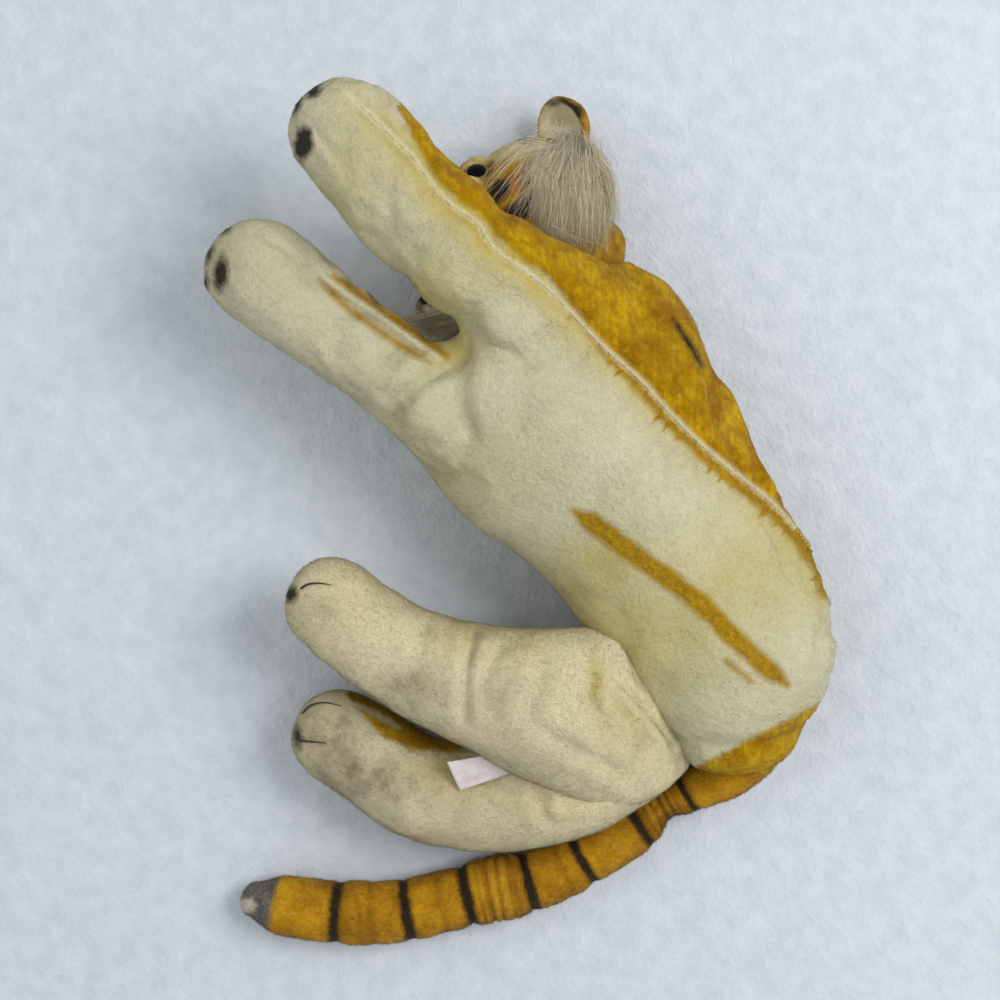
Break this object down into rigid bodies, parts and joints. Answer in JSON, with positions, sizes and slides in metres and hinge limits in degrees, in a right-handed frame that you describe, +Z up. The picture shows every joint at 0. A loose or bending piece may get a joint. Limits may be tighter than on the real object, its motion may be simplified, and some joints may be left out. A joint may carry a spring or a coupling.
{
  "type": "plush tiger",
  "caption": "Stuffed plush tiger lying on its back, with turning head, bending legs and tail, glass eyes and mohair cheek ruffs.",
  "frame": {"origin": "on the flat rest face under the middle of the back, on the surface that the toy lies on", "axes": "+X towards the toy's head end, +Y towards the toy's own right side, +Z up through its belly"},
  "size_m": [0.3614, 0.3605, 0.1101],
  "materials": {
    "cream_plush": "short acetate plush, cream, brushed nap",
    "gold_plush": "short acetate plush, gold, airbrushed brown at the seams",
    "hind_plush": "short acetate plush, cream, soiled at the paws",
    "tail_plush": "short acetate plush, gold brown with black airbrushed rings",
    "dark_plush": "short plush, black, worn to grey",
    "stuffing": "packed cotton fill",
    "mohair": "long greyish white mohair",
    "eye_glass": "glossy black glass with a pale yellow rim",
    "washer_steel": "plain steel",
    "thread": "black twisted thread",
    "ribbon": "thin woven ribbon, bare"
  },
  "bodies": {
    "torso": {"belly_cover": "cream_plush", "back_cover_right": "gold_plush", "back_cover_left": "gold_plush", "torso_stuffing": "stuffing", "tail_base_cover": "tail_plush", "tail_base_stuffing": "stuffing"},
    "head": {"head_cover_left": "gold_plush", "head_cover_right": "gold_plush", "head_stuffing": "stuffing", "ear_lining_left": "cream_plush", "ear_cover_left": "gold_plush", "ear_lining_right": "cream_plush", "ear_cover_right": "gold_plush", "eye_left": "eye_glass", "eye_right": "eye_glass", "eye_washer_left": "washer_steel", "eye_washer_right": "washer_steel", "nose": "dark_plush", "mouth_stitch": "thread", "cheek_ruff_left": "mohair", "cheek_ruff_right": "mohair", "whiskers_left": "thread", "whiskers_right": "thread"},
    "front_left_leg": {"front_left_leg_inner_cover": "cream_plush", "front_left_leg_outer_cover": "gold_plush", "front_left_leg_stuffing": "stuffing"},
    "front_right_leg": {"front_right_leg_inner_cover": "cream_plush", "front_right_leg_outer_cover": "gold_plush", "front_right_leg_stuffing": "stuffing"},
    "hindquarters": {"hind_left_thigh_inner_cover": "hind_plush", "hind_left_thigh_outer_cover": "hind_plush", "hind_left_thigh_stuffing": "stuffing", "hind_right_thigh_inner_cover": "hind_plush", "hind_right_thigh_outer_cover": "gold_plush", "hind_right_thigh_stuffing": "stuffing", "care_label": "ribbon"},
    "hind_left_paw": {"hind_left_paw_inner_cover": "hind_plush", "hind_left_paw_outer_cover": "hind_plush", "hind_left_paw_stuffing": "stuffing", "hind_left_claw_stitch": "thread"},
    "hind_right_paw": {"hind_right_paw_inner_cover": "hind_plush", "hind_right_paw_outer_cover": "gold_plush", "hind_right_paw_stuffing": "stuffing", "hind_right_claw_stitch_inner": "thread", "hind_right_claw_stitch_outer": "thread"},
    "tail_middle": {"tail_middle_cover": "tail_plush", "tail_middle_stuffing": "stuffing"},
    "tail_end": {"tail_end_cover": "tail_plush", "tail_tip_cover": "dark_plush", "tail_end_stuffing": "stuffing"}
  },
  "joints": [
    {"name": "neck_turn", "type": "hinge", "parent": "torso", "child": "head", "pos_m": [0.097, -0.02948, 0.0392], "axis": [0, 0, 1], "range_deg": [-10, 10], "stiffness_Nm_per_rad": 1.5},
    {"name": "front_left_shoulder", "type": "hinge", "parent": "torso", "child": "front_left_leg", "pos_m": [0.1, -0.00393, 0.07595], "axis": [0, 1, 0], "range_deg": [-16, 2], "stiffness_Nm_per_rad": 2},
    {"name": "front_right_shoulder", "type": "hinge", "parent": "torso", "child": "front_right_leg", "pos_m": [0.092, 0.04978, 0.06272], "axis": [0, 1, 0], "range_deg": [-16, 8], "stiffness_Nm_per_rad": 2},
    {"name": "hip_fold", "type": "hinge", "parent": "torso", "child": "hindquarters", "pos_m": [-0.08, 0.06419, 0.04655], "axis": [0, 0, 1], "range_deg": [-10, 2], "stiffness_Nm_per_rad": 1.5},
    {"name": "hind_left_knee", "type": "hinge", "parent": "hindquarters", "child": "hind_left_paw", "pos_m": [0.00605, 0.12528, 0.05172], "axis": [0, 0, 1], "range_deg": [-10, 4], "stiffness_Nm_per_rad": 1},
    {"name": "hind_right_knee", "type": "hinge", "parent": "hindquarters", "child": "hind_right_paw", "pos_m": [-0.04149, 0.16205, 0.02658], "axis": [0, 0, 1], "range_deg": [-4, 10], "stiffness_Nm_per_rad": 1},
    {"name": "tail_crease_bend", "type": "hinge", "parent": "torso", "child": "tail_middle", "pos_m": [-0.1215, 0.06698, 0.01315], "axis": [0, 0, 1], "range_deg": [-1, 15], "stiffness_Nm_per_rad": 0.8},
    {"name": "tail_gather_bend", "type": "hinge", "parent": "tail_middle", "child": "tail_end", "pos_m": [-0.098, 0.17298, 0.01243], "axis": [0, 0, 1], "range_deg": [-15, 15], "stiffness_Nm_per_rad": 0.5}
  ]
}
